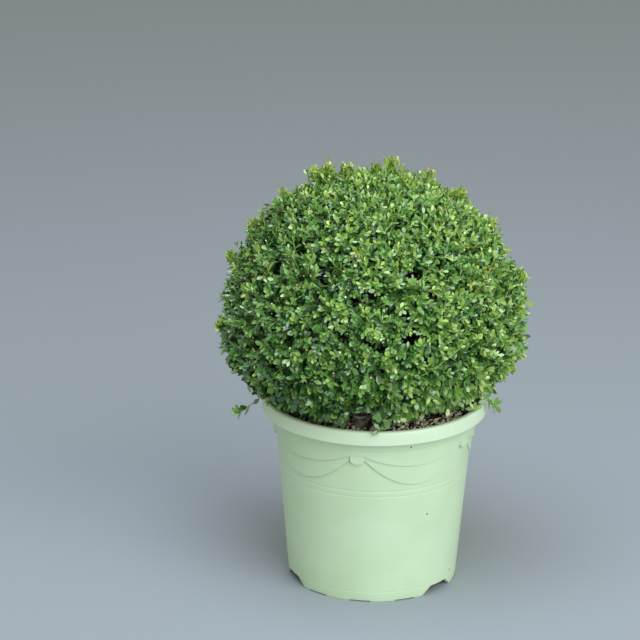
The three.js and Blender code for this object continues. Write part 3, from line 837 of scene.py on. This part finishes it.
def shade(points):
    """How shaded each point is: 0 on the clipped top and sides to 1 low down, where leaves grow larger."""
    return np.clip((0.1 - (points[..., 2] - centre[2]) / ball_radius) / 0.6, 0, 1)


crowding = 1.35  # how much closer together the leaves are towards the tip
leaf_size, top_leaf = 21, 0.55  # the length low down, and its share at the top
leaf_width, fan_leaf_width = 0.48, 0.44  # as shares of the length
leaf_curl, fan_leaf_curl = 0.02, 0.06
opening, closing = 1.3, 0.65  # the first leaf's angle with its shoot, and how much less it is at the tip


def leaves_on(growth, count, first):
    """Leaves on each growth, from a share first of it to its tip, turned by the golden angle.

    Gives their corners, how young each is (0 at the first to 1 at the tip), and which growth it is on.
    """
    stems = len(growth[0])
    first_turn = leaf_draw.uniform(0, 2 * math.pi, stems)
    corners, youth = [], []
    for i in range(count):
        age = i / max(1, count - 1)
        share = 1 - (1 - age) ** crowding
        point, heading = along(growth, first + (1 - first) * share)
        helper = np.where(np.abs(heading[:, 2:]) > 0.9, [[1.0, 0, 0]], [[0, 0, 1.0]])
        across = unit(np.cross(helper, heading))
        turn = (first_turn + i * golden_angle + leaf_draw.normal(0, 0.25, stems))[:, None]
        away = across * np.cos(turn) + np.cross(heading, across) * np.sin(turn)
        open_angle = (opening - closing * age + leaf_draw.normal(0, 0.18, stems))[:, None]
        blade = unit(heading * np.cos(open_angle) + away * np.sin(open_angle))
        face = heading * np.sin(open_angle) - away * np.cos(open_angle)
        # A leaf turns its face to the light, which comes from above and from outside the ball.
        light = unit(unit(point - centre) + np.array([0, 0, 0.8]))
        face = face + 0.6 * light + leaf_draw.normal(0, 0.25, (stems, 3))
        unlike = np.clip(leaf_draw.lognormal(0, 0.16, stems), 0.7, 1.35)
        length = leaf_size * (top_leaf + (1 - top_leaf) * shade(point)) * (1.08 - 0.36 * age**2) * unlike
        width = length * leaf_draw.normal(leaf_width, 0.05, stems)
        curl = leaf_draw.normal(leaf_curl, 0.07, stems)
        corners.append(leaf_points(point, blade, face, length, width, curl))
        youth.append(np.full(stems, age))
    owner = np.tile(np.arange(stems), count)
    return np.concatenate(corners), np.concatenate(youth), owner


def radial(count, jitter, reach):
    """Tips in evenly spread directions, at a share of the clipped outline."""
    direction = spread(count, jitter)
    return centre + direction * (clipped_radius(direction) * reach)[:, None]


limb_count, twig_count, branchlet_count, shoot_count = 27, 104, 520, 4400
gap_count, gap_width = 130, 0.085  # how wide, in radians from the centre
crown_stem = np.array(fork + boughs[0] * (roof_reach(boughs[0]) + bough_socket))
stem_growth = (crown_stem[None], (crown_stem + centre)[None] / 2, centre[None])
limbs = grow(centre[None], np.array([[0, 0, 1.0]]), radial(limb_count, 0, 0.5))
twigs = grow(limbs[2], along(limbs, 1)[1], radial(twig_count, 0.02, 0.66))
branchlets = grow(twigs[2], along(twigs, 1)[1], radial(branchlet_count, 0.03, 0.8))

# Sprigs that the shears have missed, at the low left, at the low right and over the front of the lip. Each
# ends in a fan of leaves: where they leave the shoot, their turns from +X in degrees, and their length.
fans = [
    ((-199, -43, 266), (160, 118, 205), 12),
    ((174, -40, 279), (25, 62, 110, 212), 13),
    ((165, -50, 307), (-25, 28, 80), 12),
    ((162, -50, 291), (160, 110, 60, 205), 13),
    ((143, -80, 286), (120, 75, 25, 170), 12),
    ((9, -162, 297), (60, 128, 12, 95), 11),
    ((6, -166, 286), (134, 32, 214), 14),
]
# Tufts that have grown on past the clipped outline: their direction from the centre, and how far they stand
# out. These show in the photograph's outline, and others are strewn over the back.
tufts = [
    ((-95, 76, 215), 17),
    ((-72, 78, 222), 15),
    ((-44, 80, 228), 8),
    ((0, 74, 228), 3),
    ((25, 60, 234), 15),
    ((83, 70, 212), 10),
    ((134, 66, 187), 8),
    ((-140, 66, 182), 6),
    ((-185, 48, 137), 7),
    ((-212, 30, 88), 8),
    ((178, 48, 140), 4),
    ((222, 20, 66), 6),
    ((-228, 8, -12), 2),
]
tuft_shoots, tuft_spread = 16, 8
tuft_mood = 0.4  # tufts are out in the light
shoot_direction = spread(shoot_count, 0.02)
uneven = leaf_draw.uniform(-0.06, 0.02, shoot_count)
uneven += 0.035 * (leaf_draw.random(shoot_count) < 0.05)  # a few shoots have outgrown the rest
shoot_reach = clipped_radius(shoot_direction) * (0.95 + 0.03 * lumps(shoot_direction))
shoot_tips = centre + shoot_direction * (shoot_reach * (1 + uneven))[:, None]
shoot_mood = leaf_draw.normal(0.02, 0.15, shoot_count)
strewn_tufts = spread(40, 0.2)
for place in strewn_tufts[(strewn_tufts[:, 2] > 0.1) & (strewn_tufts[:, 1] > 0.1)]:
    tufts.append((place, leaf_draw.uniform(-3, 4)))
for place, extra in tufts:
    out = unit(np.array(place, float))
    middle = centre + out * (clipped_radius(out) + extra - tuft_spread)
    drift = leaf_draw.normal(0, tuft_spread * 0.55, (tuft_shoots, 3))
    drift -= 0.6 * (drift @ out)[:, None] * out  # their tips are nearly level
    shoot_tips = np.concatenate([shoot_tips, middle + drift])
    shoot_mood = np.concatenate([shoot_mood, np.full(tuft_shoots, tuft_mood)])
shoot_tips = np.concatenate([shoot_tips, [place for place, _, _ in fans]])
shoot_mood = np.concatenate([shoot_mood, np.zeros(len(fans))])
shoots = grow(branchlets[2], along(branchlets, 1)[1], shoot_tips, rise=0.12, choice=3)
# Dark gaps are left where shoots have died back, most of them below the top.
gaps = spread(gap_count, 0.1)
gaps = gaps[gaps[:, 2] < leaf_draw.uniform(0, 1, gap_count)]
from_gap = np.arccos(np.clip(unit(shoots[2] - centre) @ gaps.T, -1, 1)).min(axis=1)
open_air = in_leaf_space(shoots[2]) & (from_gap > gap_width / 2)
open_air[-len(fans):] = True
shoots, shoot_mood = tuple(part[open_air] for part in shoots), shoot_mood[open_air]

# One long straight shoot runs up across the front and has leaves at its end alone.
long_bend, long_tip = np.array([[50.0, -222, 368]]), np.array([[118.0, -187, 420]])
long_root = np.linalg.norm(branchlets[2] - long_bend, axis=1).argmin()
long_shoot = (branchlets[2][long_root : long_root + 1], long_bend, long_tip)


def fan_of_leaves(root, turns, length):
    """Leaves that fan out from the end of a shoot, with their faces to the front and to the light."""
    count = len(turns)
    across, facing = np.array([1.0, 0, 0]), unit(np.array([0, -2.8, 1.0]))
    up = np.cross(facing, across)
    turn = np.radians(turns)[:, None]
    heading = unit(across * np.cos(turn) + up * np.sin(turn) + 0.2 * facing)
    lengths = length * leaf_draw.normal(1, 0.08, count)
    face = facing + leaf_draw.normal(0, 0.2, (count, 3))
    face[0] = (0.3, -0.9, 0.45)  # the first leaf catches the light
    roots, curls = np.tile(root, (count, 1)), np.full(count, fan_leaf_curl)
    return leaf_points(roots, heading, face, lengths, lengths * fan_leaf_width, curls)


shoot_leaves = leaves_on(shoots, 13, 0.25)
inner_leaves = leaves_on(branchlets, 10, 0.2)
corners = np.concatenate([shoot_leaves[0], inner_leaves[0]])
youth = np.concatenate([shoot_leaves[1], np.full(len(inner_leaves[1]), -1)])
mood = np.concatenate([shoot_mood[shoot_leaves[2]], np.zeros(len(inner_leaves[1]))])
fits = in_leaf_space(corners).all(axis=1)
fits &= leaf_draw.random(len(corners)) > shade_loss * shade(corners[:, 0])
corners, youth, mood = corners[fits], youth[fits], mood[fits]
loose = [fan_of_leaves(*fan) for fan in fans] + [leaves_on(long_shoot, 6, 0.75)[0]]
corners = np.concatenate([corners] + loose)
loose_count = sum(len(part) for part in loose)
youth = np.concatenate([youth, np.full(loose_count, 0.5)])
mood = np.concatenate([mood, leaf_draw.normal(0.1, 0.15, loose_count)])

# The colour kinds, dealt out by spray: young growth, high growth and shoots that stand out are lighter;
# painted light also lightens the top, the right side and the low right.
direction = unit(corners[:, 0] - centre)
young_weight, out_weight = 0.42, 2.2
fresh_and_lit_side = np.array([0.1, 0, 0.17])  # fresher growth, and painted light, towards the top and the right where light falls
even_share, most_out = 0.93, 0.15  # shares of the clipped outline
out_share = np.linalg.norm(corners[:, 0] - centre, axis=1) / clipped_radius(direction)
standing_out = np.minimum(out_share - even_share, most_out)
score = young_weight * youth + direction @ fresh_and_lit_side + out_weight * standing_out + mood
score += leaf_draw.normal(0, 0.1, len(score))
painted_light_low_right = unit(np.array([0.7, -0.6, -0.4]))  # painted light: lighter kinds where the sun reaches in under the ball
score += 0.25 * np.maximum(0, direction @ painted_light_low_right - 0.7)
bronze = (youth > 0.8) & (mood > 0.18) & (direction[:, 2] > 0.4) & (score >= 0.3)
bronze &= leaf_draw.random(len(bronze)) < 0.75
corners[bronze] += 0.4 * (corners[bronze, :1] - corners[bronze])  # they are only just out, and smaller
leaf_kinds = [
    # painted shade: leaves inside are near black, partly their own shade-grown tone, partly the shade inside
    # the ball
    ("inner_leaves", "dark holly leaf inside with painted shade", "22361a"),
    ("deep_leaves", "glossy old holly leaf", "2f5626"),
    ("green_leaves", "glossy holly leaf", "467a2f"),
    ("fresh_leaves", "glossy fresh holly leaf", "6b9c40"),
    ("young_leaves", "soft young holly leaf", "99bb54"),
    ("bronze_tips", "bronze holly leaf tip", "b3ab57"),
]
kind_limits = (-0.35, 0.04, 0.3, 0.58)  # the scores where one kind passes to the next
kind = np.searchsorted(kind_limits, score, side="right")
kind[bronze] = len(leaf_kinds) - 1
largest_piece = 15000  # leaves, of twelve triangles each


def leaf_material(name, colour, roughness):
    """A waxy evergreen leaf: a glossy cuticle over a faintly uneven blade."""
    cuticle = {"Coat_Weight": 1.0, "Coat_Roughness": 0.2, "Coat_IOR": 1.6}
    material, shader = new_material(name, colour, roughness, IOR=1.5, **cuticle)
    place = add_node(material, "TexCoord").outputs["Object"]
    tone = add_node(material, "TexNoise", [("Vector", place), ("Scale", per_metre(11)), ("Detail", 1)])
    bright = add_node(material, "MapRange", [(0, tone), (1, 0.3), (2, 0.7), (3, 0.78), (4, 1.25)])
    blade = add_node(material, "HueSaturation", [("Color", linear(colour)), ("Value", bright)])
    veins = add_node(material, "TexNoise", [("Vector", place), ("Scale", per_metre(4)), ("Detail", 1)])
    relief = add_node(material, "Bump", [("Height", veins), ("Distance", 0.06 * MM)])
    cover(shader, Base_Color=blade, Normal=relief)
    return material


for number, (name, finish, colour) in enumerate(leaf_kinds):
    material = leaf_material(finish, colour, 0.42)
    chosen = corners[kind == number]
    for i, part in enumerate(np.array_split(chosen, math.ceil(len(chosen) / largest_piece))):
        faces = repeated(leaf_faces, leaf_corners, len(part))
        mesh_piece(f"{name}_{i + 1}", part, faces, material, "foliage_ball", smooth=True)

# The wood inside, the branchlets and the slim green shoots that carry the leaves: the radius at the root and
# at the tip, the sides and the steps of each.
wood_parts = [tubes(stem_growth, 4, 3, 8, 4), tubes(limbs, 3, 2.2, 6, 5)]
wood_parts += [tubes(twigs, 2.2, 1.7, 5, 4), tubes(branchlets, 1.7, 1.1, 4, 4)]
wood_points, wood_faces = [], []
for points, faces in wood_parts:
    offset = sum(len(part) for part in wood_points)
    wood_points.append(points.reshape(-1, 3))
    wood_faces += [[corner + offset for corner in face] for face in faces]
wood_points = np.concatenate(wood_points)
mesh_piece("crown_wood", wood_points, wood_faces, bark, "foliage_ball", smooth=True)
shoot_skin = crumb_material("smooth green shoot bark", "7f9c3c", "a3bf62", 0.5, 18)
all_shoots = tuple(np.concatenate(parts) for parts in zip(shoots, long_shoot))
clear = ~np.any([before_plug(along(all_shoots, t)[0], 0) for t in (0.6, 0.8, 1)], axis=0)
points, faces = tubes(tuple(part[clear] for part in all_shoots), 1.1, 0.7, 4, 4)
mesh_piece("green_shoots", points, faces, shoot_skin, "foliage_ball", smooth=True)

# Tiny cream flowers with four petals sit among the leaves, most of them low on the ball and at its left.
flower_count, flower_radius = 1500, 2.2


def flowers_on(growth):
    """The nine corners of each flower: its throat, and by turns its petals' tips and the notches between."""
    outward_way = unit(growth[2] - centre)
    share = np.clip(0.5 - 0.7 * outward_way[:, 2] - 0.35 * outward_way[:, 0], 0.08, None)
    share[-len(fans):] = 0  # none on the shoots of the fans
    bearing = leaf_draw.choice(len(share), flower_count, p=share / share.sum())
    stems = tuple(part[bearing] for part in growth)
    root, heading = along(stems, leaf_draw.uniform(0.6, 1, (flower_count, 1)))
    away = unit(np.cross(heading, leaf_draw.normal(0, 1, (flower_count, 3))))
    face = unit(away + outward_way[bearing])
    across = unit(np.cross(face, heading))
    up = np.cross(face, across)
    size = (flower_radius * leaf_draw.lognormal(0, 0.2, flower_count))[:, None]
    middle = root + away * 4 + face * 4
    corners = [middle - face * size * 0.45]
    for i in range(8):
        reach = 1 if i % 2 == 0 else 0.42
        turn = i * math.pi / 4
        corners.append(middle + (across * math.cos(turn) + up * math.sin(turn)) * size * reach)
    return np.stack(corners, axis=1)


flower_points = flowers_on(shoots)
flower_points = flower_points[in_leaf_space(flower_points).all(axis=1)]
flower_faces = [(0, i + 1, (i + 1) % 8 + 1) for i in range(8)]
petal, petal_shader = new_material("waxy cream holly petal", "f1efc8", 0.5)
petal_place = add_node(petal, "TexCoord").outputs["Object"]
petal_tone = add_node(petal, "TexNoise", [("Vector", petal_place), ("Scale", per_metre(5))])
petal_colour = add_node(petal, "ValToRGB", [(0, petal_tone)], stops=[(0.4, "dfe6b0"), (0.6, "f2f4d4")])
cover(petal_shader, Base_Color=petal_colour)
faces = repeated(flower_faces, 9, len(flower_points))
mesh_piece("cream_flowers", flower_points, faces, petal, "foliage_ball")

# One old leaf has turned yellow and hangs low at the right of the front.
yellow_leaf = leaf_points(
    root=np.array([[104.5, -101, 297]]),
    heading=unit(np.array([[-0.05, -0.15, -1]])),
    normal=np.array([[0.4, -0.9, 0.2]]),
    length=np.array([14]),
    width=np.array([7]),
    curl=np.array([0.1]),
)
# painted light: its yellow is paler than the leaf's own, for light the leaves above keep off it
yellowed = leaf_material("yellowed holly leaf painted paler", "f4ffb0", 0.45)
mesh_piece("yellow_leaf", yellow_leaf, leaf_faces, yellowed, "foliage_ball", smooth=True)
